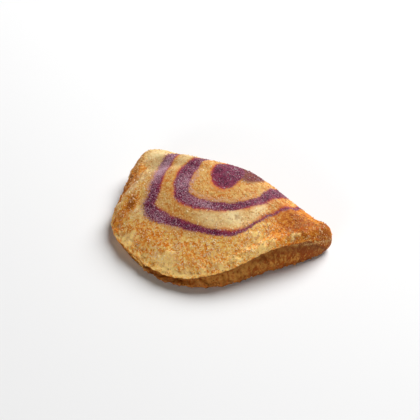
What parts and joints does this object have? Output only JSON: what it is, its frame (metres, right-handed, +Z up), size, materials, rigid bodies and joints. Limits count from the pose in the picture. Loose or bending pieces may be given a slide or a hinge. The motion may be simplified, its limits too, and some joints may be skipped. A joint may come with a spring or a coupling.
{
  "type": "turnover pastry",
  "caption": "Half-moon turnover of folded sugared dough, with a domed top, a rolled fold at the back and an open, crumbly curved edge. Lies on a flat sole.",
  "frame": {"origin": "on the surface it lies on, under the middle of its bounding box", "axes": "+X along the fold, towards the lower, open-cornered ear; +Y from the open curved edge to the fold; +Z up"},
  "size_m": [0.1146, 0.0756, 0.03],
  "materials": {
    "crust": "matte browned dough with fine sugar grains and berry-purple stripes"
  },
  "bodies": {
    "root": {"turnover": "crust"}
  },
  "joints": []
}
